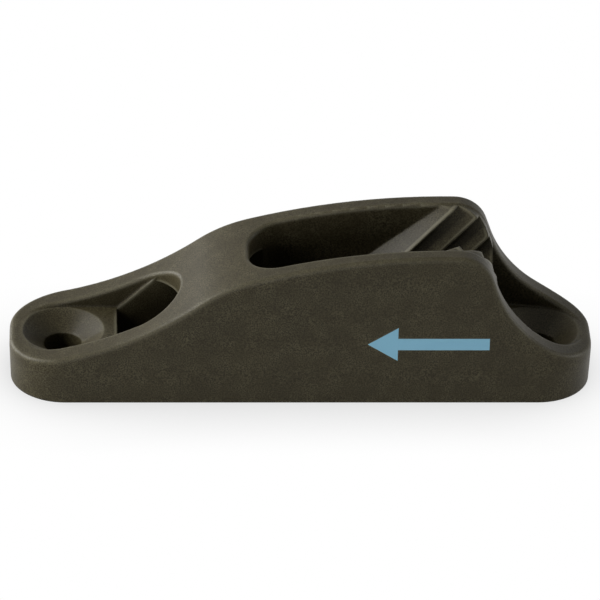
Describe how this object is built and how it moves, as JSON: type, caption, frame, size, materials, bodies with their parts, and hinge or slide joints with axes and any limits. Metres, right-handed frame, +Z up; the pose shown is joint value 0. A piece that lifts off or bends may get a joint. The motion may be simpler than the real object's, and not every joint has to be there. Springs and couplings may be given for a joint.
{
  "type": "jam cleat",
  "caption": "Low cast jam cleat with toothed vee jaws, an inline fairlead bridge at the load end and a dished screw seat at either end.",
  "frame": {"origin": "middle of the flat underside", "axes": "+X along the rope from the fairlead and load end to the jaw and tail end, +Y across, +Z up from the mounting surface"},
  "size_m": [0.082, 0.019, 0.0232],
  "materials": {
    "anodised_casting": "matte hard-anodised casting"
  },
  "bodies": {
    "root": {"cleat_body": "anodised_casting"}
  },
  "joints": []
}
